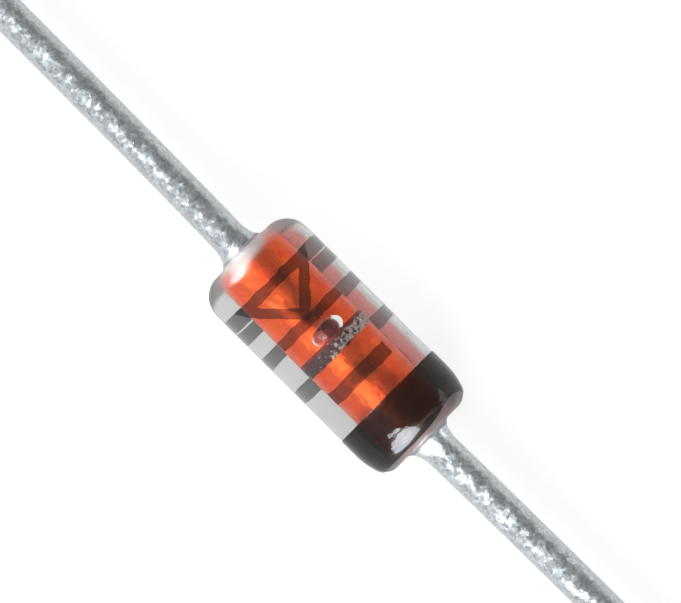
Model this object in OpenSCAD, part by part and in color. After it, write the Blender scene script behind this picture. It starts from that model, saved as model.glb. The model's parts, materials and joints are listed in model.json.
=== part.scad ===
// Schottky diode in an axial glass package.
// A chip with a silver bump is clamped between two plugs by a fused glass sleeve.
// Each plug is butt-welded to a tinned wire lead, and a painted band marks the cathode.
// Millimetres. The origin is the middle of the glass, on the axis. +X runs out of the cathode lead.

/* [Glass sleeve] */
// Outside diameter of the sleeve
glass_d = 1.79; // [1.7:0.01:2.2]
// Glass past the outer face of each plug
end_wrap = 0.25; // [0.06:0.01:0.3]
// Corner radius at the anode end, which the flame rounded more
anode_round = 0.38; // [0.1:0.01:0.42]
// Corner radius at the cathode end
cathode_round = 0.25; // [0.1:0.01:0.42]
// Length of the soft shoulder that runs down to the anode corner
anode_shoulder = 0.08; // [0.02:0.01:0.4]
// Length of the soft shoulder that runs down to the cathode corner
cathode_shoulder = 0.28; // [0.02:0.01:0.4]
// Radius of both shoulders
shoulder_r = 1.13; // [0.9:0.01:2]
// How far the glass creeps out along each weld bead
creep_l = 0.055; // [0.03:0.005:0.07]
// Width of the hollow foot of the creep on the end face
creep_w = 0.08; // [0.07:0.005:0.12]
// Thickness of the glass lip at the tip of the creep
creep_lip = 0.012; // [0.005:0.001:0.03]

/* [Seal void] */
// Length along the axis of the spot where the glass did not wet the anode plug
void_l = 0.3; // [0.1:0.01:0.5]
// Depth of that spot into the glass
void_depth = 0.05; // [0.02:0.005:0.12]
// Turn of that spot from the top, about the axis
void_turn = 8; // [0:1:360]

/* [Plugs] */
// Diameter of a plug at the chip, and of the bore that is shrunk on it
plug_d = 0.76; // [0.7:0.01:1]
// How much less the radius of a plug is at its weld
plug_draft = 0.01; // [0.005:0.005:0.02]
// Length of a plug
plug_l = 1.5; // [1.2:0.01:2]
// Chamfer on both ends of a plug
plug_chamfer = 0.02; // [0.01:0.005:0.03]

/* [Chip] */
// Side of the square die
die_w = 0.48; // [0.2:0.01:0.49]
// Turn of the die about the axis
die_turn = 30; // [0:1:90]
// Thickness of the die
die_t = 0.13; // [0.1:0.01:0.25]
// Diameter of the silver bump, squeezed flat by the plug
bump_d = 0.22; // [0.12:0.01:0.3]
// Height of the squeezed bump
bump_h = 0.05; // [0.03:0.005:0.1]

/* [Leads] */
// Diameter of the wire
lead_d = 0.52; // [0.4:0.01:0.58]
// Length of a lead out of the glass
lead_l = 27; // [10:0.5:40]
// How far the weld bead stands proud of the wire where it leaves the glass
bead_proud = 0.06; // [0.03:0.005:0.07]
// How much more the bead swells towards its plug
bead_swell = 0.02; // [0.01:0.005:0.02]
// Length over which the bead runs down to the wire
flare_l = 0.27; // [0.15:0.01:0.5]
// Chamfer at the cropped tip of a lead
tip_chamfer = 0.04; // [0.01:0.01:0.12]

/* [Cathode band] */
// Width of the band along the axis
band_w = 0.75; // [0.4:0.01:1.2]
// Thickness of the paint
band_t = 0.015; // [0.01:0.001:0.03]
// Bare glass between the band and the end face
band_inset = 0.07; // [0.02:0.01:0.3]

/* [Hidden] */
$fn = 96;

lead_r = lead_d / 2;
plug_r = plug_d / 2;
weld_r = plug_r - plug_draft;
glass_r = glass_d / 2;
bead_r = lead_r + bead_proud;
bead_root_r = bead_r + bead_swell;

// The stack along the axis: the chip and its bump fill the gap between the plugs
gap = die_t + bump_h;
plug_in = gap / 2;
plug_out = plug_in + plug_l;
glass_end = plug_out + end_wrap;
creep_end = glass_end + creep_l;
lead_end = glass_end + lead_l;
die_front = plug_in - die_t;

// The flare is an arc tangent to the wire, from the height of the bead
flare_r = (flare_l ^ 2 + bead_proud ^ 2) / (2 * bead_proud);

// The creep is an arc tangent to the end face, up to the lip
creep_r = (creep_l ^ 2 + creep_w ^ 2) / (2 * creep_l);
creep_foot = bead_r + creep_lip + creep_w;

// Radius that a shoulder has lost at the middle of its corner
function drop(corner, shoulder) =
    shoulder_r - corner - sqrt((shoulder_r - corner) ^ 2 - shoulder ^ 2);

// A corner stands this much out of its shoulder, so that the two arcs cross and do not just touch
arc_overlap = 0.00005;

// The corners stop where the creep begins
anode_corner = min(anode_round, glass_r - creep_foot - drop(anode_round, anode_shoulder));
cathode_corner = min(cathode_round, glass_r - creep_foot - drop(cathode_round, cathode_shoulder));

// The seal void is a ball that bulges past the bore and opens into the gap
void_x = -plug_in - 0.4 * void_l;
void_r = ((void_l / 2) ^ 2 + void_depth ^ 2) / (2 * void_depth);
void_out = plug_r + void_depth - void_r;

band_end = glass_end - band_inset;
band_start = band_end - band_w;

// Turns an outline of radius and height about the X axis, height becoming X
module turned() {
    rotate([0, 90, 0])
        rotate_extrude()
            children();
}

// Half section of one half of the sleeve, or of a layer that grows out of it:
// the straight part runs into the shoulder, and the shoulder into the round corner
module half_sleeve_outline(corner, shoulder, grow) {
    corner_x = glass_end - corner;
    corner_r = glass_r - corner - drop(corner, shoulder) + arc_overlap;
    slope_x = corner_x - shoulder;
    meet_x = corner_x + (corner + grow) * shoulder / (shoulder_r - corner);
    translate([0, -gap])
        square([glass_r + grow, slope_x + gap]);
    intersection() {
        translate([glass_r - shoulder_r, slope_x])
            circle(shoulder_r + grow);
        square([glass_d, meet_x]);
    }
    translate([corner_r, corner_x])
        intersection() {
            circle(corner + grow);
            translate([-corner / 2, -corner / 2])
                square(glass_d);
        }
    square([corner_r, glass_end + grow]);
}

// Half section of the sleeve's outside, or of a layer that grows out of it
module sleeve_outline(grow = 0) {
    half_sleeve_outline(cathode_corner, cathode_shoulder, grow);
    mirror([0, 1])
        half_sleeve_outline(anode_corner, anode_shoulder, grow);
}

// Half section of the glass that creeps out along a bead past the end face
module creep_outline() {
    difference() {
        translate([bead_r, glass_end])
            square([creep_lip + creep_w, creep_l]);
        translate([creep_foot, glass_end + creep_r])
            circle(creep_r);
    }
}

// Half section of a plug, on the cathode side
module plug_outline() {
    c = plug_chamfer;
    polygon([
        [0, plug_in], [plug_r - c, plug_in], [plug_r, plug_in + c],
        [weld_r, plug_out - c], [weld_r - c, plug_out], [0, plug_out]
    ]);
}

// Half section of a lead with its weld bead, on the cathode side
module lead_outline() {
    c = tip_chamfer;
    flare_end = creep_end + flare_l;
    difference() {
        polygon([
            [0, plug_out], [bead_root_r, plug_out], [bead_r, creep_end], [bead_r, flare_end],
            [lead_r, flare_end], [lead_r, lead_end - c], [lead_r - c, lead_end], [0, lead_end]
        ]);
        translate([lead_r + flare_r, flare_end])
            circle(flare_r);
    }
}

// Half section of everything that the glass is shrunk on, on the cathode side
module bore_outline() {
    square([plug_r, plug_in + plug_chamfer]);
    plug_outline();
    polygon([[0, plug_out], [bead_root_r, plug_out], [bead_r, creep_end], [0, creep_end]]);
}

module cathode_lead() {
    color("silver")
        turned()
            lead_outline();
}

module anode_lead() {
    color("silver")
        mirror([1, 0, 0])
            turned()
                lead_outline();
}

module cathode_plug() {
    color("chocolate")
        turned()
            plug_outline();
}

module anode_plug() {
    color("chocolate")
        mirror([1, 0, 0])
            turned()
                plug_outline();
}

module silicon_die() {
    color("dimgray")
        rotate([die_turn, 0, 0])
            translate([die_front, -die_w / 2, -die_w / 2])
                cube([die_t, die_w, die_w]);
}

// The bump is a disc whose edge bulges where it was squeezed
module silver_bump() {
    bulge = bump_h / 2;
    color("gainsboro")
        translate([-plug_in, 0, 0])
            turned() {
                square([bump_d / 2 - bulge, bump_h]);
                translate([bump_d / 2 - bulge, bulge])
                    intersection() {
                        circle(bulge);
                        translate([0, -bulge])
                            square([bulge, bump_h]);
                    }
            }
}

module glass_sleeve() {
    color("lightcyan", 0.4)
        difference() {
            turned()
                difference() {
                    union() {
                        sleeve_outline();
                        creep_outline();
                        mirror([0, 1])
                            creep_outline();
                    }
                    bore_outline();
                    mirror([0, 1])
                        bore_outline();
                }
            rotate([-void_turn, 0, 0])
                translate([void_x, 0, void_out])
                    sphere(void_r);
        }
}

module cathode_band() {
    color("black")
        turned()
            difference() {
                intersection() {
                    sleeve_outline(band_t);
                    translate([0, band_start])
                        square([glass_d, band_w]);
                }
                sleeve_outline();
            }
}

anode_lead();
anode_plug();
silver_bump();
silicon_die();
cathode_plug();
cathode_lead();
glass_sleeve();
cathode_band();
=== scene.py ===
import cmath
import json
import math

import bmesh
import bpy
from bpy.props import FloatProperty, FloatVectorProperty, IntProperty, PointerProperty
from mathutils import Matrix, Quaternion, Vector, noise


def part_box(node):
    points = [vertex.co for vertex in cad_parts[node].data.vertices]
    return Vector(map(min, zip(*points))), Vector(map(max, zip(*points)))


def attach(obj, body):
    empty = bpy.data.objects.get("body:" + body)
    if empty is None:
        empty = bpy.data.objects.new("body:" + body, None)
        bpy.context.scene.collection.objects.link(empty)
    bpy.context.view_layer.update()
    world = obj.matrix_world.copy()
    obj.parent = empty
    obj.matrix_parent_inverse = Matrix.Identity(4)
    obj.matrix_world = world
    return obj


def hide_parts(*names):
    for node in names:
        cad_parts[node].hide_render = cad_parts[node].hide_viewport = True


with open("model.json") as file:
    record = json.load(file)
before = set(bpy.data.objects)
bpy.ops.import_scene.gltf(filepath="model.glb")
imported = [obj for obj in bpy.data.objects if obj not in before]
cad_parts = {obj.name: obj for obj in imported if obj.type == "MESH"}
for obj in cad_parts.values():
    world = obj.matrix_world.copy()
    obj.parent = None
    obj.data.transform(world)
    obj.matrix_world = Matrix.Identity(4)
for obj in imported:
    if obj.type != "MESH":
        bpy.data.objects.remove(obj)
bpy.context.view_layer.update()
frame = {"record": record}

bl_info = {
    "name": "Axial glass diode",
    "version": (1, 0, 0),
    "blender": (4, 5, 0),
    "location": "View3D > Sidebar > Diode",
    "description": "Dresses a glass diode: leads, plugs, chip, fused sleeve, cathode band and print",
    "category": "Add Mesh",
}

MM = 0.001
BODY = "root"

# The photograph's frame, and where the middle of the glass lies in it
PHOTO_SIZE = (681, 603)
BODY_PIXEL = (335.0, 344.3)
AXIS_TURN = math.radians(44.9)

# Sizes that the frame gives, along the axis (x) and out from it (r)
GLASS_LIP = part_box("glass_sleeve")[1].x
GLASS_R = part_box("glass_sleeve")[1].z
PLUG_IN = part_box("cathode_plug")[0].x
PLUG_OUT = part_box("cathode_plug")[1].x
PLUG_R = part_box("cathode_plug")[1].z
BEAD_ROOT_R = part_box("cathode_lead")[1].z
LEAD_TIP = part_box("cathode_lead")[1].x
BAND_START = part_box("cathode_band")[0].x
BAND_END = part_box("cathode_band")[1].x
BAND_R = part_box("cathode_band")[1].y
DIE_LOW, DIE_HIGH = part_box("silicon_die")
BUMP_LOW, BUMP_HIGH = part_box("silver_bump")
WIRE_R = frame["record"]["mounts"][0]["dims"]["r_mm"] * MM

# Metal stands this far into the glass, so that light in the glass meets the metal with no air between
WETTED = 0.002 * MM
# Radius of the ring that a section is swept round before it is laid along the axis
RAIL_R = 1 * MM
# Points closer than this are one point
WELD = 1e-5 * MM
# Length over which the lumps of a lead rise and fade
LUMP_FADE = 0.4 * MM
# Seed of the bleed of the ink
INK_SEED = 5
# Places of the bars on the far side, along the axis
FAR_BARS = (-1.195 * MM, -0.95 * MM, -0.47 * MM, 0.19 * MM)

# Light of the room by the sideways part (y) of its direction: bright on the near side, dim above the far side
ROOM_LIGHT = (
    (-1.0, 0.64), (-0.88, 0.77), (-0.66, 0.8), (-0.27, 0.54), (0.0, 0.42),
    (0.27, 0.39), (0.56, 0.33), (0.79, 0.31), (0.94, 0.55), (1.0, 0.82),
)
# The floor as seen through the glass, by its place to the side (y, in mm): painted shade where it lies in the
# body's shadow, and painted orange light that stands for the light the plugs throw on it
PAINTED_FLOOR_SHADE_AND_GLOW = (
    (-0.8, "FFFFFF"), (-0.4, "E8EDEE"), (0.04, "E8EDEE"), (0.09, "A0A0A2"),
    (0.117, "B2331A"), (0.22, "B2331A"), (0.6, "FFFFFF"),
)
# Rays that miss a card, which only gloss shows, and rays that miss the glow, which only the plugs take
CARD = ("diffuse", "transmission")
GLOW = ("diffuse", "glossy")
# Lamps: angles from straight up towards +x and +y in degrees, distance, width and height in mm, lean in
# degrees, the property that gives the brightness, and the rays that miss the lamp
LAMPS = (
    ("front_softbox", 34, -34, 90, 45, 45, 0, "key_light", ()),
    ("left_softbox", -52, -30, 90, 45, 45, 0, "side_light", ()),
    ("strip_glint", 20, -40, 70, 8, 34, -25, "front_glint", CARD),
    ("front_glint", 47, -40, 70, 46, 86, -38, "front_glint", CARD),
    ("left_glint", -67, -51, 70, 46, 46, 0, "left_glint", CARD),
    ("low_glint", 74, 81, 70, 40, 18, 0, "low_glint", CARD),
    ("plug_softbox", 0, -39, 70, 300, 64, 0, "plug_light", GLOW),
)
FLOOR_SIDE = 800 * MM
CAMERA_HEIGHT = 60 * MM


def linear(code):
    """An sRGB hex colour as linear RGBA."""
    channels = [int(code[i : i + 2], 16) / 255 for i in (0, 2, 4)]
    return [c / 12.92 if c <= 0.04045 else ((c + 0.055) / 1.055) ** 2.4 for c in channels] + [1.0]


def grey(level):
    """A linear level as grey RGBA."""
    return (level, level, level, 1.0)


def length(name, description, millimetres):
    """A length property, written in millimetres and kept in metres."""
    return FloatProperty(
        name=name, description=description, default=millimetres * MM, min=0, precision=6, unit="LENGTH"
    )


def angle(name, description, degrees):
    """An angle property, written in degrees and kept in radians."""
    return FloatProperty(name=name, description=description, default=math.radians(degrees), subtype="ANGLE")


def factor(name, description, share):
    """A property for a share from 0 to 1."""
    return FloatProperty(name=name, description=description, default=share, min=0, max=1, subtype="FACTOR")


def brightness(name, description, level):
    """A property for a brightness, where 1 is white."""
    return FloatProperty(name=name, description=description, default=level, min=0)


def colour(name, description, code):
    """A colour property, written as sRGB hex."""
    return FloatVectorProperty(
        name=name, description=description, default=linear(code), size=4, min=0, max=1, subtype="COLOR"
    )


class DiodeSizes(bpy.types.PropertyGroup):
    """Sizes that the frame's boxes don't give."""

    facets: IntProperty(name="Facets", description="Facets round the glass", default=256, min=32)
    lead_facets: IntProperty(name="Lead facets", description="Facets round a lead", default=60, min=16)
    bump_facets: IntProperty(name="Bump facets", description="Facets round the bump", default=64, min=16)
    anode_corner: length("Anode corner", "Corner radius at the anode end of the glass", 0.38)
    cathode_corner: length("Cathode corner", "Corner radius at the cathode end of the glass", 0.25)
    anode_shoulder: length("Anode shoulder", "Length of the soft shoulder at the anode end", 0.08)
    cathode_shoulder: length("Cathode shoulder", "Length of the soft shoulder at the cathode end", 0.28)
    shoulder_radius: length("Shoulder radius", "Radius of both shoulders", 1.13)
    creep_length: length("Creep length", "How far the glass creeps out along a weld bead", 0.055)
    creep_width: length("Creep width", "Width of the hollow foot of the creep", 0.08)
    creep_lip: length("Creep lip", "Thickness of the glass at the tip of the creep", 0.012)
    bead_proud: length("Bead proud", "How far the weld bead stands proud of the wire", 0.06)
    flare_length: length("Flare length", "Length over which the bead runs down to the wire", 0.27)
    tip_chamfer: length("Tip chamfer", "Chamfer at the cropped tip of a lead", 0.04)
    plug_draft: length("Plug draft", "How much less the radius of a plug is at its weld", 0.01)
    plug_chamfer: length("Plug chamfer", "Chamfer on both ends of a plug", 0.02)
    weld_scale_length: length("Weld scale length", "How far the weld burnt the oxide off a plug", 0.012)
    die_side: length("Die side", "Side of the square die", 0.48)
    die_bevel: length("Die bevel", "Bevel on the edges of the die", 0.006)
    die_turn: angle("Die turn", "Turn of the die about the axis", 30)
    void_length: length("Void length", "Length of the spot that the glass did not wet", 0.3)
    void_depth: length("Void depth", "Depth of that spot into the glass", 0.05)
    void_turn: angle("Void turn", "Turn of it from the top", 8)
    crumple: length("Crumple", "How rough the glass froze over the gap, where no metal shaped it", 0.003)
    crumple_size: length("Crumple size", "Width of the wrinkles there", 0.035)
    film_thickness: length("Film thickness", "Thickness of the film on the wall of the gap", 0.008)
    flux_shift: length("Flux shift", "How far the flux at the gap lies towards the cathode", 0.035)
    flux_edge: length("Flux edge", "How far the edge of that flux wanders", 0.06)
    lump_height: length("Lump height", "Height of the lumps in the tin", 0.006)
    lump_size: length("Lump size", "Width of the lumps in the tin", 0.13)
    lead_bow: length("Lead bow", "How far each lead is bowed aside", 0.05)
    bow_length: length("Bow length", "Length over which most of the bow is reached", 2.0)
    thin_turn: angle("Thin side", "Side where the paint stops short at the end, from the top", 49)
    thin_pull: angle("Thin pull", "Angle round the corner by which it stops short there", 28)
    band_edge: length("Band edge", "Width over which the paint thins out at its edge", 0.02)
    band_wander: length("Band wander", "How far the painted edge wanders", 0.012)
    wander_length: length("Wander length", "Length of paint that follows that wander", 0.3)
    ink_thickness: length("Ink thickness", "Thickness of the printed ink", 0.006)
    ink_bleed: length("Ink bleed", "How far the edge of a printed line wanders", 0.02)
    ink_bleed_size: length("Ink bleed size", "Length of one such wander", 0.14)
    stroke: length("Stroke", "Width of a printed line", 0.16)
    bar_stroke: length("Bar stroke", "Width of a printed bar", 0.216)


class DiodeFinishes(bpy.types.PropertyGroup):
    """Colours and optical values of the finishes."""

    tin: colour("Tin", "Hot-dipped tin", "CDD2D4")
    tin_shade: colour("Tin shade", "Dull patches in the tin", "B0B5B7")
    oxide: colour("Oxide", "Orange oxide of the plugs", "F36022")
    oxide_deep: colour("Deep oxide", "Thicker, redder oxide", "E14818")
    weld_scale: colour("Weld scale", "Pale scale on a weld", "E4D7D2")
    heat_tint: colour("Heat tint", "Brown root of the cathode weld", "8E5F4E")
    # This dark red also stands as painted shade on the film at the anode edge of the gap
    bare_copper_and_gap_shade: colour("Bare copper", "Dark oxide where the glass did not wet the plug", "7A1F1A")
    splash: colour("Splash", "Dark film that the bump left on the wall of the gap", "402423")
    flecks: colour("Flecks", "Silver flecks in that film", "B9A6A1")
    silver: colour("Silver", "Plated silver", "DAD6CC")
    silicon: colour("Silicon", "Sawn silicon", "55565A")
    glass_tint: colour("Glass tint", "Body colour of the glass", "FBFCFC")
    glass_ior: FloatProperty(name="Glass IOR", description="Index of lead glass", default=1.54, min=1, max=2)
    paint_ior: FloatProperty(name="Paint IOR", description="Index of the paint", default=1.38, min=1, max=2)
    paint: colour("Paint", "Black band paint", "140D0A")
    ink: colour("Ink", "Black marking ink", "1C1613")
    worn_ink: colour("Worn ink", "Thin ink on the far side, browner than the rest", "3B2A2D")
    paint_cover: factor("Paint cover", "Share that one face of the paint hides", 0.62)
    ink_cover: factor("Ink cover", "Share that one face of the ink hides", 0.45)
    worn_cover: factor("Worn cover", "Share that one face of thin ink hides", 0.5)


class DiodeStudio(bpy.types.PropertyGroup):
    """The camera's scale, the floor and the lights."""

    pixel: length("Pixel", "Size of one pixel of the picture", 0.01405)
    floor: colour("Floor", "Pale floor", "A8A8A8")
    floor_white: brightness("Floor white", "What lifts the floor to white", 0.78)
    floor_gloss: brightness("Floor gloss", "The same in metal and gloss", 0.65)
    floor_glass: brightness("Floor glass", "The same through glass", 0.55)
    key_light: brightness("Key light", "Brightness of the front softbox", 5.0)
    side_light: brightness("Side light", "Brightness of the left softbox", 3.0)
    plug_light: brightness("Plug light", "Brightness of the softbox over the plugs", 1.75)
    front_glint: brightness("Front glint", "Brightness of a lamp that only gloss shows", 25.0)
    left_glint: brightness("Left glint", "The same on the left", 19.0)
    low_glint: brightness("Low glint", "The same, low on the far side", 2.2)
    glint_tint: colour("Glint tint", "Cool colour of these lamps", "F0F7FF")


def set_input(tree, socket, value):
    """Links an input to a socket, or sets a constant on it."""
    if isinstance(value, bpy.types.NodeSocket):
        tree.links.new(value, socket)
    else:
        socket.default_value = value


def add(tree, kind, inputs=None, out=0, **settings):
    """Adds a node with its settings and inputs, named or numbered: one of its outputs, or all for None."""
    made = tree.nodes.new(kind)
    for name, value in settings.items():
        setattr(made, name, value)
    for key, value in (inputs or {}).items():
        set_input(tree, made.inputs[key], value)
    return made.outputs if out is None else made.outputs[out]


def feed(tree, shader, **sources):
    """Links or sets a shader's inputs, named with underscores for spaces."""
    for name, value in sources.items():
        set_input(tree, shader.inputs[name.replace("_", " ")], value)


def set_stops(shade, stops):
    """Gives the ramp that a colour comes from its stops, each a place from 0 to 1 and a linear colour."""
    elements = shade.node.color_ramp.elements
    while len(elements) < len(stops):
        elements.new(0.5)
    for element, (place, stop) in zip(elements, stops):
        element.position = place
        element.color = stop


def new_material(name):
    """A node material: itself, its tree, its Principled shader and the Object coordinates in it."""
    material = bpy.data.materials.new(name)
    material.use_nodes = True
    tree = material.node_tree
    shader = next(n for n in tree.nodes if n.type == "BSDF_PRINCIPLED")
    return material, tree, shader, add(tree, "ShaderNodeTexCoord", out="Object")


def tinned_wire(finishes, sizes):
    """Hot-dip tinned copper-clad steel: smooth on the flare, then frozen in grains that lean all ways."""
    material, tree, shader, spot = new_material("hot_dip_tinned_wire")
    place = add(tree, "ShaderNodeSeparateXYZ", {0: spot}, out="X")
    along = add(tree, "ShaderNodeMath", {0: place}, operation="ABSOLUTE")
    flare_end = GLASS_LIP + sizes.flare_length
    normal = add(tree, "ShaderNodeNewGeometry", out="Normal")
    # Seen at a slant the grains hide one another, so they lean less there
    slant = add(tree, "ShaderNodeLayerWeight", {"Blend": 0.5}, out="Facing")
    seen = add(
        tree,
        "ShaderNodeMapRange",
        {"Value": slant, "From Min": 0.6, "From Max": 0.95, "To Min": 1.0, "To Max": 0.0},
    )
    for grain, tilt in ((0.1 * MM, 0.15), (0.045 * MM, 0.18)):
        grains = {"Vector": spot, "Scale": 1 / grain, "Smoothness": 0.35}
        cells = add(tree, "ShaderNodeTexVoronoi", grains, out="Color", feature="SMOOTH_F1")
        lean = add(tree, "ShaderNodeVectorMath", {0: cells, 1: (0.5, 0.5, 0.5)}, operation="SUBTRACT")
        spangle = add(
            tree,
            "ShaderNodeMapRange",
            {"Value": along, "From Min": GLASS_LIP, "From Max": flare_end, "To Min": 0.02, "To Max": tilt},
        )
        spangle = add(tree, "ShaderNodeMath", {0: spangle, 1: seen}, operation="MULTIPLY")
        lean = add(tree, "ShaderNodeVectorMath", {0: lean, "Scale": spangle}, operation="SCALE")
        normal = add(tree, "ShaderNodeVectorMath", {0: normal, 1: lean})
    normal = add(tree, "ShaderNodeVectorMath", {0: normal}, operation="NORMALIZE")
    fine = add(tree, "ShaderNodeTexNoise", {"Vector": spot, "Scale": 1 / (0.04 * MM), "Detail": 3.0})
    dull = add(tree, "ShaderNodeMapRange", {"Value": fine, "From Min": 0.36, "From Max": 0.64})
    tins = {0: dull, 6: finishes.tin, 7: finishes.tin_shade}
    shade = add(tree, "ShaderNodeMix", tins, out=2, data_type="RGBA")
    patches = add(tree, "ShaderNodeTexNoise", {"Vector": spot, "Scale": 1 / (0.1 * MM), "Detail": 4.0})
    matt = add(
        tree,
        "ShaderNodeMapRange",
        {"Value": patches, "From Min": 0.36, "From Max": 0.64, "To Min": 0.18, "To Max": 0.36},
    )
    # The tin stops at the glass. The welds inside it are pale with scale, but for a brown root at the cathode
    share = add(tree, "ShaderNodeMapRange", {"Value": place, "From Min": -GLASS_LIP, "From Max": GLASS_LIP})
    scale = add(tree, "ShaderNodeValToRGB", {0: share})
    root, pale_again = (0.5 + 0.5 * (PLUG_OUT + reach) / GLASS_LIP for reach in (0.06 * MM, 0.12 * MM))
    pale, brown = finishes.weld_scale, finishes.heat_tint
    set_stops(scale, [(0.0, pale), (0.45, pale), (0.5, brown), (root, brown), (pale_again, pale)])
    weld = GLASS_LIP - 2 * sizes.creep_length
    metal = add(
        tree, "ShaderNodeMapRange", {"Value": along, "From Min": weld, "From Max": GLASS_LIP, "To Min": 0.3}
    )
    shade = add(tree, "ShaderNodeMix", {0: metal, 6: scale, 7: shade}, out=2, data_type="RGBA")
    # The scale is matt
    matt = add(tree, "ShaderNodeMix", {0: metal, 2: 0.7, 3: matt}, data_type="FLOAT")
    feed(tree, shader, Base_Color=shade, Metallic=metal, Roughness=matt, Normal=normal)
    return material


def in_void(tree, spot, sizes):
    """Adds the share by which a spot lies in the void of the seal."""
    ball, radius = void_ball(sizes)
    far = add(tree, "ShaderNodeVectorMath", {0: spot, 1: ball}, out="Value", operation="DISTANCE")
    return add(tree, "ShaderNodeMapRange", {"Value": far, "From Min": radius, "From Max": 0.94 * radius})


def fluxed(tree, spot, ground, finishes, sizes):
    """Adds a ground's colour, with flux and silver from the bump over it at the gap, up to a ragged edge."""
    place = add(tree, "ShaderNodeSeparateXYZ", {0: spot}, out=None)
    flecks = add(tree, "ShaderNodeTexNoise", {"Vector": spot, "Scale": 1 / (0.045 * MM), "Detail": 3.0})
    # The silver was thrown to the far side
    thrown = add(
        tree, "ShaderNodeMath", {0: place["Y"], 1: 0.15 / PLUG_R, 2: flecks}, operation="MULTIPLY_ADD"
    )
    bright = add(tree, "ShaderNodeMapRange", {"Value": thrown, "From Min": 0.48, "From Max": 0.66})
    films = {0: bright, 6: finishes.splash, 7: finishes.flecks}
    shade = add(tree, "ShaderNodeMix", films, out=2, data_type="RGBA")
    along = add(tree, "ShaderNodeMath", {0: place["X"], 1: sizes.flux_shift}, operation="SUBTRACT")
    along = add(tree, "ShaderNodeMath", {0: along}, operation="ABSOLUTE")
    ragged = add(tree, "ShaderNodeTexNoise", {"Vector": spot, "Scale": 1 / (0.09 * MM), "Detail": 3.0})
    along = add(
        tree, "ShaderNodeMath", {0: ragged, 1: 2 * sizes.flux_edge, 2: along}, operation="MULTIPLY_ADD"
    )
    edge, soft = PLUG_IN + sizes.flux_edge, 0.004 * MM
    border = {"Value": along, "From Min": edge + soft, "From Max": edge - soft}
    cover = add(tree, "ShaderNodeMapRange", border)
    return add(tree, "ShaderNodeMix", {0: cover, 6: ground, 7: shade}, out=2, data_type="RGBA")


def borated_plug(finishes, sizes):
    """Borated copper-clad nickel iron: a thin glassy orange oxide on drawn metal, deeper where thicker."""
    material, tree, shader, spot = new_material("borated_oxide_plug")
    patches = add(tree, "ShaderNodeTexNoise", {"Vector": spot, "Scale": 1 / (0.25 * MM), "Detail": 5.0})
    depth = add(tree, "ShaderNodeMapRange", {"Value": patches, "From Min": 0.35, "From Max": 0.68})
    oxides = {0: depth, 6: finishes.oxide, 7: finishes.oxide_deep}
    shade = add(tree, "ShaderNodeMix", oxides, out=2, data_type="RGBA")
    unwetted = {0: in_void(tree, spot, sizes), 6: shade, 7: finishes.bare_copper_and_gap_shade}
    shade = add(tree, "ShaderNodeMix", unwetted, out=2, data_type="RGBA")
    shade = fluxed(tree, spot, shade, finishes, sizes)
    along = add(tree, "ShaderNodeSeparateXYZ", {0: spot}, out="X")
    along = add(tree, "ShaderNodeMath", {0: along}, operation="ABSOLUTE")
    weld = PLUG_OUT - sizes.weld_scale_length
    ends = {"Value": along, "From Min": weld - 0.01 * MM, "From Max": weld + 0.005 * MM}
    scaled = add(tree, "ShaderNodeMapRange", ends)
    shade = add(tree, "ShaderNodeMix", {0: scaled, 6: shade, 7: finishes.weld_scale}, out=2, data_type="RGBA")
    # Drawing lines run along the wire, so the pattern is stretched ten times that way
    drawn = add(tree, "ShaderNodeMapping", {"Vector": spot, "Scale": (0.1, 1.0, 1.0)})
    lines = add(tree, "ShaderNodeTexNoise", {"Vector": drawn, "Scale": 1 / (0.025 * MM), "Detail": 3.0})
    bumps = add(tree, "ShaderNodeBump", {"Height": lines, "Strength": 0.25, "Distance": 0.01 * MM})
    dents = add(tree, "ShaderNodeTexNoise", {"Vector": spot, "Scale": 1 / (0.35 * MM), "Detail": 2.0})
    bumps = add(
        tree, "ShaderNodeBump", {"Height": dents, "Strength": 0.5, "Distance": 0.08 * MM, "Normal": bumps}
    )
    matt = add(
        tree,
        "ShaderNodeMapRange",
        {"Value": patches, "From Min": 0.3, "From Max": 0.7, "To Min": 0.2, "To Max": 0.34},
    )
    feed(tree, shader, Base_Color=shade, Metallic=0.85, Roughness=matt, Normal=bumps)
    return material


def fused_glass(finishes, sizes):
    """Clear lead glass, fire-polished: uneven, so things swim behind it, and hazy at the flame-cut ends."""
    material, tree, shader, spot = new_material("fused_lead_glass")
    swell = add(tree, "ShaderNodeTexNoise", {"Vector": spot, "Scale": 1 / (0.5 * MM), "Detail": 2.0})
    bumps = add(tree, "ShaderNodeBump", {"Height": swell, "Strength": 0.1, "Distance": 0.05 * MM})
    # The flame left both ends hazy, and the creep at the lead nearly as much
    along = add(tree, "ShaderNodeSeparateXYZ", {0: spot}, out="X")
    along = add(tree, "ShaderNodeMath", {0: along}, operation="ABSOLUTE")
    end = GLASS_LIP - sizes.creep_length
    clear = end - 1.2 * sizes.anode_corner
    most = (end - clear) / (GLASS_LIP - clear)
    place = add(tree, "ShaderNodeMapRange", {"Value": along, "From Min": clear, "From Max": GLASS_LIP})
    haze = add(tree, "ShaderNodeValToRGB", {0: place})
    set_stops(haze, [(0.0, grey(0.0)), (most, grey(0.45)), (1.0, grey(0.4))])
    feed(tree, shader, Base_Color=finishes.glass_tint, Transmission_Weight=1.0, IOR=finishes.glass_ior)
    feed(tree, shader, Roughness=haze, Normal=bumps)
    return material


def gloss_paint(name, shade, cover, finishes):
    """Stoved black paint or ink: a glossy film that lets some light through, with faint orange peel."""
    material, tree, shader, spot = new_material(name)
    peel = add(tree, "ShaderNodeTexNoise", {"Vector": spot, "Scale": 1 / (0.1 * MM), "Detail": 3.0})
    bumps = add(tree, "ShaderNodeBump", {"Height": peel, "Strength": 0.12, "Distance": 0.02 * MM})
    matt = add(
        tree,
        "ShaderNodeMapRange",
        {"Value": peel, "From Min": 0.3, "From Max": 0.7, "To Min": 0.03, "To Max": 0.08},
    )
    feed(tree, shader, Base_Color=shade, IOR=finishes.paint_ior, Alpha=cover, Roughness=matt, Normal=bumps)
    return material


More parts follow.
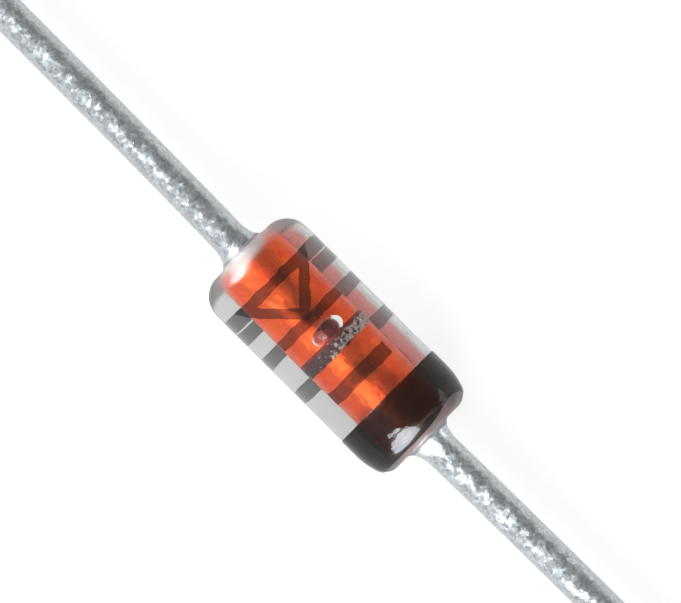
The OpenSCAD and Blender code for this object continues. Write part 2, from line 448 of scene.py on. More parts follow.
def plated_silver(finishes):
    """Plated silver: a bright grainy metal."""
    material, tree, shader, spot = new_material("plated_silver")
    grains = add(tree, "ShaderNodeTexNoise", {"Vector": spot, "Scale": 1 / (0.03 * MM), "Detail": 3.0})
    bumps = add(tree, "ShaderNodeBump", {"Height": grains, "Strength": 0.5, "Distance": 0.01 * MM})
    feed(tree, shader, Base_Color=finishes.silver, Metallic=1.0, Roughness=0.35, Normal=bumps)
    return material


def gap_splash(finishes, sizes):
    """Film on the wall of the gap: dark with flux and flecked with silver, and dark red painted shade where
    the flux stops short, at the anode edge.
    """
    material, tree, shader, spot = new_material("gap_splash")
    # Where the flux stops short, by the anode plug, the wall shows the dark red as painted shade
    shade = fluxed(tree, spot, finishes.bare_copper_and_gap_shade, finishes, sizes)
    unwetted = {0: in_void(tree, spot, sizes), 6: shade, 7: finishes.bare_copper_and_gap_shade}
    shade = add(tree, "ShaderNodeMix", unwetted, out=2, data_type="RGBA")
    grains = add(tree, "ShaderNodeTexNoise", {"Vector": spot, "Scale": 1 / (0.045 * MM), "Detail": 3.0})
    bumps = add(tree, "ShaderNodeBump", {"Height": grains, "Strength": 0.65, "Distance": 0.03 * MM})
    feed(tree, shader, Base_Color=shade, Metallic=0.6, Roughness=0.5, Normal=bumps)
    return material


def sawn_silicon(finishes):
    """Sawn silicon: a dark grey crystal with fine saw lines across its edges."""
    material, tree, shader, spot = new_material("sawn_silicon")
    cut = add(tree, "ShaderNodeMapping", {"Vector": spot, "Scale": (1.0, 0.12, 0.12)})
    lines = add(tree, "ShaderNodeTexNoise", {"Vector": cut, "Scale": 1 / (0.02 * MM), "Detail": 3.0})
    bumps = add(tree, "ShaderNodeBump", {"Height": lines, "Strength": 0.6, "Distance": 0.01 * MM})
    feed(tree, shader, Base_Color=finishes.silicon, Metallic=0.7, Roughness=0.35, Normal=bumps)
    return material


def new_tree(name, **sockets):
    """An empty geometry tree with named inputs after its geometry: the tree and what its inputs give."""
    tree = bpy.data.node_groups.new(name, "GeometryNodeTree")
    tree.interface.new_socket("Geometry", in_out="INPUT", socket_type="NodeSocketGeometry")
    tree.interface.new_socket("Geometry", in_out="OUTPUT", socket_type="NodeSocketGeometry")
    for label, kind in sockets.items():
        tree.interface.new_socket(label.replace("_", " "), in_out="INPUT", socket_type="NodeSocket" + kind)
    return tree, add(tree, "NodeGroupInput", out=None)


def end_tree(tree, geometry, material):
    """Ends a tree in real faces with their material."""
    real = add(tree, "GeometryNodeRealizeInstances", {0: geometry})
    dressed = add(tree, "GeometryNodeSetMaterial", {"Geometry": real, "Material": material})
    add(tree, "NodeGroupOutput", {0: dressed}, out=None)
    return tree


def turning_tree():
    """Turns a section, drawn as x along the axis and z out from it, about X. Lumps may swell its skin."""
    tree, given = new_tree(
        "Turned piece",
        Facets="Int",
        Lump_height="Float",
        Lump_size="Float",
        Lump_start="Float",
        Lump_end="Float",
        Seed="Float",
        Material="Material",
    )
    section = add(tree, "GeometryNodeMeshToCurve", {0: given["Geometry"]})
    spot = add(tree, "GeometryNodeInputPosition")
    place = add(tree, "ShaderNodeSeparateXYZ", {0: spot}, out=None)
    out = add(tree, "ShaderNodeMath", {0: place["Z"], 1: RAIL_R}, operation="SUBTRACT")
    back = add(tree, "ShaderNodeMath", {0: place["X"], 1: -1.0}, operation="MULTIPLY")
    across = add(tree, "ShaderNodeCombineXYZ", {"X": out, "Y": back})
    section = add(tree, "GeometryNodeSetPosition", {0: section, "Position": across})
    ring = {"Resolution": given["Facets"], "Radius": RAIL_R}
    rail = add(tree, "GeometryNodeCurvePrimitiveCircle", ring, mode="RADIUS")
    skin = add(tree, "GeometryNodeCurveToMesh", {"Curve": rail, "Profile Curve": section})
    laid = add(tree, "GeometryNodeTransform", {"Geometry": skin, "Rotation": (0.0, math.pi / 2, 0.0)})
    closed = add(tree, "GeometryNodeMergeByDistance", {"Geometry": laid, "Distance": WELD})
    scaled = add(tree, "ShaderNodeVectorMath", {0: spot, 1: given["Lump size"]}, operation="DIVIDE")
    seeded = {"Vector": scaled, "W": given["Seed"], "Scale": 1.0, "Detail": 2.0}
    lumps = add(tree, "ShaderNodeTexNoise", seeded, noise_dimensions="4D")
    high = add(tree, "ShaderNodeMath", {0: lumps, 1: 0.5}, operation="SUBTRACT")
    high = add(tree, "ShaderNodeMath", {0: high, 1: given["Lump height"]}, operation="MULTIPLY")
    along = add(tree, "ShaderNodeMath", {0: place["X"]}, operation="ABSOLUTE")
    for near, far in ((given["Lump start"], along), (along, given["Lump end"])):
        past = add(tree, "ShaderNodeMath", {0: far, 1: near}, operation="SUBTRACT")
        fade = {"Value": past, "From Min": 0.0, "From Max": LUMP_FADE}
        fade = add(tree, "ShaderNodeMapRange", fade, interpolation_type="SMOOTHSTEP")
        high = add(tree, "ShaderNodeMath", {0: high, 1: fade}, operation="MULTIPLY")
    normal = add(tree, "GeometryNodeInputNormal")
    push = add(tree, "ShaderNodeVectorMath", {0: normal, "Scale": high}, operation="SCALE")
    swollen = add(tree, "GeometryNodeSetPosition", {0: closed, "Offset": push})
    return end_tree(tree, swollen, given["Material"])


def wrapping_tree():
    """Wraps flat print, drawn as x along the axis and y round it, on a cylinder about X."""
    tree, given = new_tree("Wrapped print", Radius="Float", Material="Material")
    place = add(tree, "ShaderNodeSeparateXYZ", {0: add(tree, "GeometryNodeInputPosition")}, out=None)
    turn = add(tree, "ShaderNodeMath", {0: place["Y"], 1: given["Radius"]}, operation="DIVIDE")
    out = add(tree, "ShaderNodeMath", {0: place["Z"], 1: given["Radius"]}, operation="ADD")
    waves = [add(tree, "ShaderNodeMath", {0: turn}, operation=wave) for wave in ("SINE", "COSINE")]
    side, up = (add(tree, "ShaderNodeMath", {0: out, 1: wave}, operation="MULTIPLY") for wave in waves)
    there = add(tree, "ShaderNodeCombineXYZ", {"X": place["X"], "Y": side, "Z": up})
    wrapped = add(tree, "GeometryNodeSetPosition", {0: given["Geometry"], "Position": there})
    return end_tree(tree, wrapped, given["Material"])


def through_tree(piece, tree, **values):
    """Runs a piece's mesh through a geometry tree and keeps the result as its plain mesh."""
    modifier = piece.modifiers.new(tree.name, "NODES")
    modifier.node_group = tree
    for socket in tree.interface.items_tree:
        key = socket.name.replace(" ", "_").lower()
        if socket.in_out == "INPUT" and key in values:
            modifier[socket.identifier] = values[key]
    drawn = piece.data
    shown = piece.evaluated_get(bpy.context.evaluated_depsgraph_get())
    piece.data = bpy.data.meshes.new_from_object(shown)
    piece.modifiers.clear()
    bpy.data.meshes.remove(drawn)
    return piece


def new_piece(name, points, edges, faces=()):
    """A linked object with a mesh of its own."""
    mesh = bpy.data.meshes.new(name)
    mesh.from_pydata(points, edges, faces)
    piece = bpy.data.objects.new(name, mesh)
    bpy.context.scene.collection.objects.link(piece)
    return piece


def finish_piece(piece, crease):
    """Points a closed mesh's faces outwards, and shades it smooth up to a crease angle in degrees."""
    form = bmesh.new()
    form.from_mesh(piece.data)
    bmesh.ops.recalc_face_normals(form, faces=form.faces)
    form.to_mesh(piece.data)
    form.free()
    piece.data.shade_smooth()
    piece.data.set_sharp_from_angle(angle=math.radians(crease))
    return piece


def turned_piece(name, section, material, facets, closed, crease=30, **lumps):
    """Turns a section of (x, r) points about the X axis. Lumps are given by the tree's names for them."""
    points = [(x, 0.0, r) for x, r in section]
    edges = [(i, i + 1) for i in range(len(points) - 1)]
    if closed:
        edges.append((len(points) - 1, 0))
    piece = new_piece(name, points, edges)
    tree = bpy.data.node_groups.get("Turned piece") or turning_tree()
    through_tree(piece, tree, facets=facets, material=material, **lumps)
    return finish_piece(piece, crease)


def hand_over(piece, node):
    """Rides a piece on the body, in place of its CAD node."""
    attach(piece, BODY)
    if node:
        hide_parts(node)


def arc(centre_x, centre_r, radius, start, end, steps):
    """Points of an arc in a section, from one angle to another in degrees, 0 towards +x and 90 outwards."""
    angles = [math.radians(start + (end - start) * i / steps) for i in range(steps + 1)]
    return [(centre_x + radius * math.cos(a), centre_r + radius * math.sin(a)) for a in angles]


def stretch(start, end, step):
    """Points from one section point to another, no further apart than step, without the last."""
    (x0, r0), (x1, r1) = start, end
    count = max(1, math.ceil(math.hypot(x1 - x0, r1 - r0) / step))
    return [(x0 + (x1 - x0) * i / count, r0 + (r1 - r0) * i / count) for i in range(count)]


def mirrored(section):
    """The same section on the anode side."""
    return [(-x, r) for x, r in reversed(section)]


def lead_section(sizes):
    """Section of the cathode lead: the weld bead on the plug, its flare, the wire and the cropped tip."""
    bead_r = WIRE_R + sizes.bead_proud
    flare_end = GLASS_LIP + sizes.flare_length
    flare_r = (sizes.flare_length**2 + sizes.bead_proud**2) / (2 * sizes.bead_proud)
    flare_angle = math.degrees(math.asin(sizes.flare_length / flare_r))
    flare = arc(flare_end, WIRE_R + flare_r, flare_r, 270 - flare_angle, 270, steps=16)
    shoulder = LEAD_TIP - sizes.tip_chamfer
    return [
        (PLUG_OUT, 0.0),
        (PLUG_OUT, BEAD_ROOT_R),
        *stretch((PLUG_OUT, BEAD_ROOT_R), (GLASS_LIP, bead_r), step=0.03 * MM)[1:],
        *flare[:-1],
        *stretch((flare_end, WIRE_R), (shoulder, WIRE_R), step=0.028 * MM),
        (shoulder, WIRE_R),
        (LEAD_TIP, WIRE_R - sizes.tip_chamfer),
        (LEAD_TIP, 0.0),
    ]


def plug_section(sizes):
    """Section of the cathode plug, chamfered at both ends."""
    c = sizes.plug_chamfer
    weld_r = PLUG_R - sizes.plug_draft
    return [
        (PLUG_IN, 0.0),
        *stretch((PLUG_IN, 0.0), (PLUG_IN, PLUG_R - c), step=0.06 * MM)[1:],
        (PLUG_IN, PLUG_R - c),
        *stretch((PLUG_IN + c, PLUG_R), (PLUG_OUT - c, weld_r), step=0.06 * MM),
        (PLUG_OUT - c, weld_r),
        (PLUG_OUT, weld_r - c),
        (PLUG_OUT, 0.0),
    ]


def bore_radius(x, sizes):
    """Radius of the bore at a place along it: even over the gap, then with the draft of the plugs."""
    along = (abs(x) - PLUG_IN - sizes.plug_chamfer) / (PLUG_OUT - PLUG_IN - 2 * sizes.plug_chamfer)
    return PLUG_R - WETTED - sizes.plug_draft * max(0.0, along)


def bump_section():
    """Section of the silver bump: a disc whose edge bulges where it was squeezed."""
    bulge = (BUMP_HIGH.x - BUMP_LOW.x) / 2
    middle = (BUMP_HIGH.x + BUMP_LOW.x) / 2
    edge = arc(middle, BUMP_HIGH.z - bulge, bulge, 180, 0, steps=16)
    return [(BUMP_LOW.x, 0.0), *edge, (BUMP_HIGH.x, 0.0)]


def splash_section(sizes):
    """Closed section of the film on the wall of the gap, from plug to plug."""
    end = PLUG_IN + sizes.plug_chamfer
    inner = PLUG_R - sizes.film_thickness
    wall = stretch((-end, PLUG_R), (end, PLUG_R), step=0.015 * MM)
    return [*wall, (end, PLUG_R), (end, inner), (-end, inner)]


def end_arcs(sizes, corner, shoulder):
    """Corner and shoulder of one end of the sleeve: the middle of each arc, and the angle where they meet."""
    reach = sizes.shoulder_radius - corner
    corner_x = GLASS_LIP - sizes.creep_length - corner
    shoulder_r = GLASS_R - sizes.shoulder_radius
    corner_r = shoulder_r + math.sqrt(reach**2 - shoulder**2)
    return (corner_x, corner_r), (corner_x - shoulder, shoulder_r), math.degrees(math.acos(shoulder / reach))


def glass_end_section(sizes, corner, shoulder):
    """Outside of one end of the sleeve, drawn at the cathode, from the lip to the end of the shoulder."""
    bead_r = WIRE_R + sizes.bead_proud
    end = GLASS_LIP - sizes.creep_length
    corner_middle, shoulder_middle, meet = end_arcs(sizes, corner, shoulder)
    creep_r = (sizes.creep_length**2 + sizes.creep_width**2) / (2 * sizes.creep_length)
    creep_angle = math.degrees(math.asin(sizes.creep_width / creep_r))
    foot = bead_r + sizes.creep_lip + sizes.creep_width
    creep = arc(end + creep_r, foot, creep_r, 180 + creep_angle, 180, steps=10)
    flat = stretch((end, foot), (end, corner_middle[1]), step=0.03 * MM)
    rounding = arc(*corner_middle, corner, 0, meet, steps=28)
    slope = arc(*shoulder_middle, sizes.shoulder_radius, meet, 90, steps=16)
    return [(GLASS_LIP, bead_r - WETTED), *creep, *flat[1:], *rounding, *slope[1:]]


def glass_section(sizes):
    """Closed section of the sleeve: its outside from cathode to anode, then the bore back again."""
    cathode = glass_end_section(sizes, sizes.cathode_corner, sizes.cathode_shoulder)
    anode = mirrored(glass_end_section(sizes, sizes.anode_corner, sizes.anode_shoulder))
    c = sizes.plug_chamfer
    weld_r = PLUG_R - sizes.plug_draft
    bore = [
        (PLUG_OUT - c, weld_r - WETTED),
        (PLUG_OUT - WETTED, weld_r - c),
        (PLUG_OUT - WETTED, BEAD_ROOT_R - WETTED),
    ]
    fine = PLUG_IN + sizes.void_length + 0.06 * MM
    middle = [(x, bore_radius(x, sizes)) for x, _ in stretch((-fine, 0.0), (fine, 0.0), step=0.008 * MM)]
    top = stretch(cathode[-1], anode[0], step=0.1 * MM)[1:]
    return [*cathode, *top, *anode, *mirrored(bore), *middle, *bore]


def void_ball(sizes):
    """Middle and radius of the ball that hollows the glass where it did not wet the anode plug."""
    radius = ((sizes.void_length / 2) ** 2 + sizes.void_depth**2) / (2 * sizes.void_depth)
    out = PLUG_R + sizes.void_depth - radius
    side = out * math.sin(sizes.void_turn)
    up = out * math.cos(sizes.void_turn)
    return Vector((-PLUG_IN - 0.4 * sizes.void_length, side, up)), radius


def open_void(mesh, sizes):
    """Pushes the bore out to a ball where the glass did not wet the anode plug."""
    ball, radius = void_ball(sizes)
    for vertex in mesh.vertices:
        spoke = Vector((0.0, vertex.co.y, vertex.co.z))
        reach = spoke.length
        if abs(reach - bore_radius(vertex.co.x, sizes)) > WETTED or abs(vertex.co.x - ball.x) > radius:
            continue
        spoke.normalize()
        along = spoke.dot(ball)
        chord = along**2 - (ball - Vector((vertex.co.x, 0.0, 0.0))).length_squared + radius**2
        if chord > 0 and along + math.sqrt(chord) > reach:
            spoke *= along + math.sqrt(chord)
            vertex.co.y = spoke.y
            vertex.co.z = spoke.z


def crumple_gap(mesh, sizes):
    """Wrinkles the bore over the gap, so that the glass lifts off the film there in spots."""
    for vertex in mesh.vertices:
        spoke = Vector((0.0, vertex.co.y, vertex.co.z))
        if abs(spoke.length - PLUG_R) > 2 * WETTED or abs(vertex.co.x) > PLUG_IN:
            continue
        spot = vertex.co / sizes.crumple_size
        # The wrinkles fade over the last sixth of the way to a plug
        fade = min(1.0, 6 * (1 - abs(vertex.co.x) / PLUG_IN))
        rough = noise.noise(spot) + 0.5 * noise.noise(2 * spot)
        vertex.co += spoke.normalized() * fade * sizes.crumple * rough


def band_section(sizes):
    """Closed section of the paint, which follows the glass round its corner and thins out at both edges."""
    thick = BAND_R - GLASS_R
    corner = sizes.cathode_corner
    slope = sizes.shoulder_radius
    corner_middle, shoulder_middle, meet = end_arcs(sizes, corner, sizes.cathode_shoulder)
    last = math.degrees(math.acos((BAND_END - corner_middle[0]) / corner))
    # The skin ends a few degrees short of the foot
    thinning = 4
    outside = [
        *arc(*shoulder_middle, slope + thick, 90, meet, steps=16)[:-1],
        *arc(*corner_middle, corner + thick, meet, last + thinning, steps=20),
    ]
    inside = [
        *arc(*corner_middle, corner - WETTED, last, meet, steps=20)[:-1],
        *arc(*shoulder_middle, slope - WETTED, meet, 90, steps=16),
    ]
    edge = sizes.band_edge
    return [
        (BAND_START, GLASS_R - WETTED),
        (BAND_START + 0.1 * edge, GLASS_R + 0.3 * thick),
        (BAND_START + 0.4 * edge, GLASS_R + 0.7 * thick),
        *stretch((BAND_START + edge, BAND_R), outside[0], step=0.05 * MM),
        *outside,
        *inside,
        *stretch(inside[-1], (BAND_START, GLASS_R - WETTED), step=0.05 * MM)[1:],
    ]


def wander(mesh, start, end, reach):
    """Lets the painted edge at start wander along the axis, less and less towards end."""
    # The edge follows a circle through the noise
    circle_r, circle_z = 3, 0.7
    for vertex in mesh.vertices:
        share = (end - vertex.co.x) / (end - start)
        if share > 0:
            turn = math.atan2(vertex.co.y, vertex.co.z)
            spot = Vector((circle_r * math.cos(turn), circle_r * math.sin(turn), circle_z))
            vertex.co.x += share * reach * (0.5 + 0.5 * noise.noise(spot) + 0.25 * noise.noise(spot * 4))


def draw_back(mesh, sizes):
    """Draws the edge of the paint back round the corner on one side, where it ran thin."""
    middle = end_arcs(sizes, sizes.cathode_corner, sizes.cathode_shoulder)[0]
    last = math.acos((BAND_END - middle[0]) / sizes.cathode_corner)
    # The higher this power of the cosine, the narrower that side
    narrow = 8
    for vertex in mesh.vertices:
        reach = math.hypot(vertex.co.y, vertex.co.z)
        out = complex(vertex.co.x - middle[0], reach - middle[1])
        if out.real <= 0:
            continue
        side = math.cos(math.atan2(vertex.co.y, vertex.co.z) - sizes.thin_turn)
        share = (math.pi / 2 - math.atan2(out.imag, out.real)) / (math.pi / 2 - last)
        out *= cmath.rect(1.0, share * sizes.thin_pull * max(0.0, side) ** narrow)
        vertex.co.x = middle[0] + out.real
        vertex.co.yz *= (middle[1] + out.imag) / reach


def stroke_faces(form, corners, width, cyclic):
    """Draws a flat mitred stroke through corners, in short pieces that can bend round the glass."""
    count = len(corners)
    rails = []
    for i in range(count):
        here = Vector(corners[i])
        before = (here - Vector(corners[i - 1])).normalized() if cyclic or i else None
        after = (Vector(corners[(i + 1) % count]) - here).normalized() if cyclic or i < count - 1 else None
        before = before or after
        after = after or before
        across = Vector((-before.y - after.y, before.x + after.x)).normalized()
        half = width / 2 / max(0.3, across.dot(Vector((-after.y, after.x))))
        rails.append((here - across * half, here + across * half))
    longest, lanes = 0.03 * MM, 3
    for i in range(count if cyclic else count - 1):
        near, far = rails[i], rails[(i + 1) % count]
        pieces = max(1, math.ceil((far[0] - near[0]).length / longest))
        rows = []
        for k in range(pieces + 1):
            a = near[0].lerp(far[0], k / pieces)
            b = near[1].lerp(far[1], k / pieces)
            rows.append([form.verts.new((*a.lerp(b, j / lanes), 0.0)) for j in range(lanes + 1)])
        for low, high in zip(rows, rows[1:]):
            for j in range(lanes):
                form.faces.new((low[j], low[j + 1], high[j + 1], high[j]))


def printed_mark(name, strokes, width, sizes, material, turn):
    """Flat strokes, thickened to ink and wrapped on the glass, a turn round from the top."""
    form = bmesh.new()
    for corners, cyclic in strokes:
        stroke_faces(form, corners, width, cyclic)
    bmesh.ops.remove_doubles(form, verts=form.verts, dist=0.0005 * MM)
    bmesh.ops.recalc_face_normals(form, faces=form.faces)
    bmesh.ops.solidify(form, geom=form.faces[:], thickness=sizes.ink_thickness)
    lowest = min(v.co.z for v in form.verts)
    noise.seed_set(INK_SEED)
    for vertex in form.verts:
        bleed = noise.noise_vector(Vector((vertex.co.x, vertex.co.y, turn * MM)) / sizes.ink_bleed_size)
        vertex.co.x += sizes.ink_bleed * bleed.x
        vertex.co.y += sizes.ink_bleed * bleed.y + turn * GLASS_R
        vertex.co.z += -lowest - WETTED
    piece = new_piece(name, [], [])
    form.to_mesh(piece.data)
    form.free()
    tree = bpy.data.node_groups.get("Wrapped print") or wrapping_tree()
    through_tree(piece, tree, radius=GLASS_R, material=material)
    return finish_piece(piece, crease=40)


def bow_lead(mesh, sizes):
    """Bows a lead aside past the glass, as handling leaves it."""
    for vertex in mesh.vertices:
        past = max(0.0, abs(vertex.co.x) - GLASS_LIP)
        vertex.co.y += sizes.lead_bow * (1 - math.exp(-past / sizes.bow_length))


class DIODE_OT_leads(bpy.types.Operator):
    """Turns both tinned leads with their weld beads"""

    bl_idname = "diode.leads"
    bl_label = "Leads"

    def execute(self, context):
        sizes = context.scene.diode_sizes
        material = tinned_wire(context.scene.diode_finishes, sizes)
        section = lead_section(sizes)
        sides = (("cathode_lead", section, 1.0), ("anode_lead", mirrored(section), 2.0))
        for node, points, seed in sides:
            piece = turned_piece(
                node + "_tinned",
                points,
                material,
                sizes.lead_facets,
                closed=False,
                crease=50,
                lump_height=sizes.lump_height,
                lump_size=sizes.lump_size,
                lump_start=GLASS_LIP + 0.6 * sizes.flare_length,
                lump_end=LEAD_TIP - sizes.tip_chamfer,
                seed=seed,
            )
            bow_lead(piece.data, sizes)
            hand_over(piece, node)
        return {"FINISHED"}


class DIODE_OT_plugs(bpy.types.Operator):
    """Turns both plugs"""

    bl_idname = "diode.plugs"
    bl_label = "Plugs"

    def execute(self, context):
        sizes = context.scene.diode_sizes
        material = borated_plug(context.scene.diode_finishes, sizes)
        section = plug_section(sizes)
        for node, points in (("cathode_plug", section), ("anode_plug", mirrored(section))):
            piece = turned_piece(node + "_borated", points, material, sizes.facets // 2, closed=False)
            hand_over(piece, node)
        return {"FINISHED"}


class DIODE_OT_chip(bpy.types.Operator):
    """Makes the sawn die, its silver bump and the film that the bump left on the wall of the gap"""

    bl_idname = "diode.chip"
    bl_label = "Chip"

    def execute(self, context):
        sizes = context.scene.diode_sizes
        finishes = context.scene.diode_finishes
        die = new_piece("silicon_die_sawn", [], [])
        form = bmesh.new()
        bmesh.ops.create_cube(form, size=1.0)
        bmesh.ops.scale(form, vec=(DIE_HIGH.x - DIE_LOW.x, sizes.die_side, sizes.die_side), verts=form.verts)
        bmesh.ops.rotate(form, matrix=Matrix.Rotation(sizes.die_turn, 3, "X"), verts=form.verts)
        bmesh.ops.translate(form, vec=(DIE_HIGH + DIE_LOW) / 2, verts=form.verts)
        bmesh.ops.bevel(form, geom=form.edges[:], offset=sizes.die_bevel, segments=2, affect="EDGES")
        form.to_mesh(die.data)
        form.free()
        die.data.materials.append(sawn_silicon(finishes))
        hand_over(finish_piece(die, crease=40), "silicon_die")
        material = plated_silver(finishes)
        bump = turned_piece("silver_bump_plated", bump_section(), material, sizes.bump_facets, closed=False)
        hand_over(bump, "silver_bump")
        material = gap_splash(finishes, sizes)
        film = turned_piece("gap_splash", splash_section(sizes), material, sizes.facets // 2, closed=True)
        hand_over(film, None)
        return {"FINISHED"}


class DIODE_OT_sleeve(bpy.types.Operator):
    """Turns the fused sleeve and opens the void in its seal"""

    bl_idname = "diode.sleeve"
    bl_label = "Glass sleeve"

    def execute(self, context):
        sizes = context.scene.diode_sizes
        material = fused_glass(context.scene.diode_finishes, sizes)
        piece = turned_piece("glass_sleeve_fused", glass_section(sizes), material, sizes.facets, closed=True)
        open_void(piece.data, sizes)
        crumple_gap(piece.data, sizes)
        hand_over(finish_piece(piece, crease=30), "glass_sleeve")
        return {"FINISHED"}


class DIODE_OT_band(bpy.types.Operator):
    """Paints the cathode band"""

    bl_idname = "diode.band"
    bl_label = "Cathode band"

    def execute(self, context):
        sizes = context.scene.diode_sizes
        finishes = context.scene.diode_finishes
        material = gloss_paint("stoved_black_paint", finishes.paint, finishes.paint_cover, finishes)
        piece = turned_piece("cathode_band_paint", band_section(sizes), material, sizes.facets, closed=True)
        wander(piece.data, BAND_START, BAND_START + sizes.wander_length, sizes.band_wander)
        draw_back(piece.data, sizes)
        hand_over(finish_piece(piece, crease=40), "cathode_band")
        return {"FINISHED"}


class DIODE_OT_print(bpy.types.Operator):
    """Prints the plain polarity sign on the near side and plain bars on both sides"""

    bl_idname = "diode.print"
    bl_label = "Print"

    def execute(self, context):
        sizes = context.scene.diode_sizes
        finishes = context.scene.diode_finishes
        ink = gloss_paint("marking_ink", finishes.ink, finishes.ink_cover, finishes)
        base, apex, half = -1.22 * MM, -0.6 * MM, 0.62 * MM
        bar = apex + 0.1 * MM
        sign = [
            ([(base, -half), (apex, 0.0), (base, half)], True),
            ([(bar, -half), (bar, half)], False),
        ]
        mark = printed_mark("polarity_sign", sign, sizes.stroke, sizes, ink, turn=0.0)
        hand_over(mark, None)
        near, low, high = 0.54 * MM, -0.62 * MM, 0.52 * MM
        bars = [([(near, low), (near, high)], False)]
        mark = printed_mark("near_side_bar", bars, sizes.bar_stroke, sizes, ink, turn=0.0)
        hand_over(mark, None)
        worn = gloss_paint("worn_marking_ink", finishes.worn_ink, finishes.worn_cover, finishes)
        half = 0.4 * MM
        bars = [([(x, -half), (x, half)], False) for x in FAR_BARS]
        mark = printed_mark("far_side_bars", bars, sizes.bar_stroke, sizes, worn, turn=math.pi)
        hand_over(mark, None)
        return {"FINISHED"}


def softbox(name, toward_x, toward_y, distance, width, height, lean, radiance):
    """A round area lamp at angles from straight up, in degrees, that faces the glass. Radiance 1 is white."""
    data = bpy.data.lights.new(name, "AREA")
    data.shape = "ELLIPSE"
    data.size = width
    data.size_y = height
    data.energy = radiance * math.pi * math.pi / 4 * width * height
    lamp = bpy.data.objects.new(name, data)
    away = Vector((math.tan(math.radians(toward_x)), math.tan(math.radians(toward_y)), 1.0)).normalized()
    lamp.location = away * distance
    roll = Quaternion((0, 0, 1), math.radians(lean))
    lamp.rotation_euler = (away.to_track_quat("Z", "Y") @ roll).to_euler()
    bpy.context.scene.collection.objects.link(lamp)
    return lamp


def pale_floor(studio):
    """A pale matt floor that the picture shows as white, while light and reflections get the true one;
    through the glass it shows a painted shadow of the body and painted orange light from the plugs.
    """
    material, tree, shader, spot = new_material("pale_matt_floor")
    spot = add(tree, "ShaderNodeSeparateXYZ", {0: spot}, out=None)
    # Painted shade and painted orange light on the floor, by its place to the side
    first, last = PAINTED_FLOOR_SHADE_AND_GLOW[0][0], PAINTED_FLOOR_SHADE_AND_GLOW[-1][0]
    sides = {"Value": spot["Y"], "From Min": first * MM, "From Max": last * MM}
    shade = add(tree, "ShaderNodeValToRGB", {0: add(tree, "ShaderNodeMapRange", sides)})
    set_stops(shade, [((y - first) / (last - first), linear(code)) for y, code in PAINTED_FLOOR_SHADE_AND_GLOW])
    path = add(tree, "ShaderNodeLightPath", out=None)
    through = path["Is Transmission Ray"]
    # Only rays through the glass, under the body, see that painted shade and light
    along = add(tree, "ShaderNodeMath", {0: spot["X"]}, operation="ABSOLUTE")
    painted_shade_share = add(tree, "ShaderNodeMapRange", {"Value": along, "From Min": GLASS_LIP, "From Max": PLUG_OUT})
    painted_shade_share = add(tree, "ShaderNodeMath", {0: painted_shade_share, 1: through}, operation="MULTIPLY")
    shade = add(tree, "ShaderNodeMix", {0: painted_shade_share, 6: grey(1.0), 7: shade}, out=2, data_type="RGBA")
    shaded = {0: 1.0, 6: studio.floor, 7: shade}
    pale = add(tree, "ShaderNodeMix", shaded, out=2, data_type="RGBA", blend_type="MULTIPLY")
    # A ray bent by glass counts as glossy too
    gloss = {0: path["Is Glossy Ray"], 1: through}
    in_gloss = add(tree, "ShaderNodeMath", gloss, operation="SUBTRACT", use_clamp=True)
    white = {0: path["Is Camera Ray"], 1: studio.floor_white}
    fill = add(tree, "ShaderNodeMath", white, operation="MULTIPLY")
    for seen, share in ((in_gloss, studio.floor_gloss), (through, studio.floor_glass)):
        fill = add(tree, "ShaderNodeMath", {0: seen, 1: share, 2: fill}, operation="MULTIPLY_ADD")
    feed(tree, shader, Base_Color=pale, Roughness=0.9, Specular_IOR_Level=0.0)
    feed(tree, shader, Emission_Color=shade, Emission_Strength=fill)
    return material


def room():
    """A room that is bright on the near side and dim above the far side, and white in the picture."""
    world = bpy.data.worlds.new("studio_room")
    world.use_nodes = True
    tree = world.node_tree
    background = next(n for n in tree.nodes if n.type == "BACKGROUND")
    toward = add(tree, "ShaderNodeTexCoord", out="Generated")
    side = add(tree, "ShaderNodeSeparateXYZ", {0: toward}, out="Y")
    place = add(tree, "ShaderNodeMapRange", {"Value": side, "From Min": -1.0, "From Max": 1.0})
    light = add(tree, "ShaderNodeValToRGB", {0: place})
    set_stops(light, [((y + 1) / 2, grey(level)) for y, level in ROOM_LIGHT])
    seen = add(tree, "ShaderNodeLightPath", out="Is Camera Ray")
    strength = add(tree, "ShaderNodeMix", {0: seen, 2: light, 3: 1.0}, data_type="FLOAT")
    feed(tree, background, Color=grey(1.0), Strength=strength)
    return world


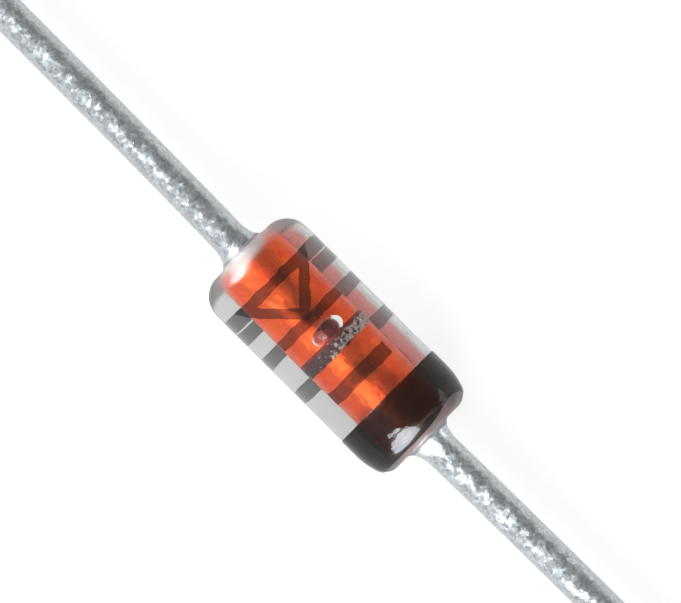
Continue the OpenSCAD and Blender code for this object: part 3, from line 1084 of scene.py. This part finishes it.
class DIODE_OT_stage(bpy.types.Operator):
    """Sets the floor, the lights and the camera"""

    bl_idname = "diode.stage"
    bl_label = "Stage"

    def execute(self, context):
        scene = context.scene
        studio = scene.diode_studio
        scene.view_settings.view_transform = "Standard"
        scene.world = room()
        side, low = FLOOR_SIDE / 2, -BAND_R
        corners = [(-side, -side, low), (side, -side, low), (side, side, low), (-side, side, low)]
        floor = new_piece("floor", corners, [], [(0, 1, 2, 3)])
        floor.data.materials.append(pale_floor(studio))
        for name, toward_x, toward_y, distance, width, height, lean, level, unmet in LAMPS:
            spans = (distance * MM, width * MM, height * MM)
            lamp = softbox(name, toward_x, toward_y, *spans, lean, getattr(studio, level))
            for ray in unmet:
                setattr(lamp, "visible_" + ray, False)
            if unmet == CARD:
                lamp.data.color = studio.glint_tint[:3]
        # The strip beside the front card is for the paint alone, because the leads show enough cards
        strip = bpy.data.objects["strip_glint"]
        strip.light_linking.receiver_collection = bpy.data.collections.new("lit_by_strip")
        strip.light_linking.receiver_collection.objects.link(bpy.data.objects["cathode_band_paint"])
        data = bpy.data.cameras.new("camera")
        data.type = "ORTHO"
        data.ortho_scale = PHOTO_SIZE[0] * studio.pixel
        data.clip_start = 1 * MM
        data.clip_end = 1.0
        camera = bpy.data.objects.new("camera", data)
        right = (PHOTO_SIZE[0] / 2 - BODY_PIXEL[0]) * studio.pixel
        up = (BODY_PIXEL[1] - PHOTO_SIZE[1] / 2) * studio.pixel
        camera.location = (
            right * math.cos(AXIS_TURN) - up * math.sin(AXIS_TURN),
            right * math.sin(AXIS_TURN) + up * math.cos(AXIS_TURN),
            CAMERA_HEIGHT,
        )
        camera.rotation_euler = (0.0, 0.0, AXIS_TURN)
        scene.collection.objects.link(camera)
        scene.camera = camera
        return {"FINISHED"}


class VIEW3D_PT_diode(bpy.types.Panel):
    """Lists the diode's operators and settings"""

    bl_label = "Axial glass diode"
    bl_idname = "VIEW3D_PT_diode"
    bl_space_type = "VIEW_3D"
    bl_region_type = "UI"
    bl_category = "Diode"

    def draw(self, context):
        for operator in OPERATORS:
            self.layout.operator(operator.bl_idname)
        for group in (context.scene.diode_sizes, context.scene.diode_finishes, context.scene.diode_studio):
            column = self.layout.column()
            for name in group.bl_rna.properties.keys():
                if name not in ("rna_type", "name"):
                    column.prop(group, name)


GROUPS = {"diode_sizes": DiodeSizes, "diode_finishes": DiodeFinishes, "diode_studio": DiodeStudio}
OPERATORS = (
    DIODE_OT_leads,
    DIODE_OT_plugs,
    DIODE_OT_chip,
    DIODE_OT_sleeve,
    DIODE_OT_band,
    DIODE_OT_print,
    DIODE_OT_stage,
)


def register():
    for kind in (*GROUPS.values(), *OPERATORS, VIEW3D_PT_diode):
        bpy.utils.register_class(kind)
    for name, kind in GROUPS.items():
        setattr(bpy.types.Scene, name, PointerProperty(type=kind))


def unregister():
    for name in GROUPS:
        delattr(bpy.types.Scene, name)
    for kind in (VIEW3D_PT_diode, *reversed(OPERATORS), *reversed(GROUPS.values())):
        bpy.utils.unregister_class(kind)


def main():
    register()
    bpy.ops.diode.leads()
    bpy.ops.diode.plugs()
    bpy.ops.diode.chip()
    bpy.ops.diode.sleeve()
    bpy.ops.diode.band()
    bpy.ops.diode.print()
    bpy.ops.diode.stage()


if __name__ == "__main__":
    main()
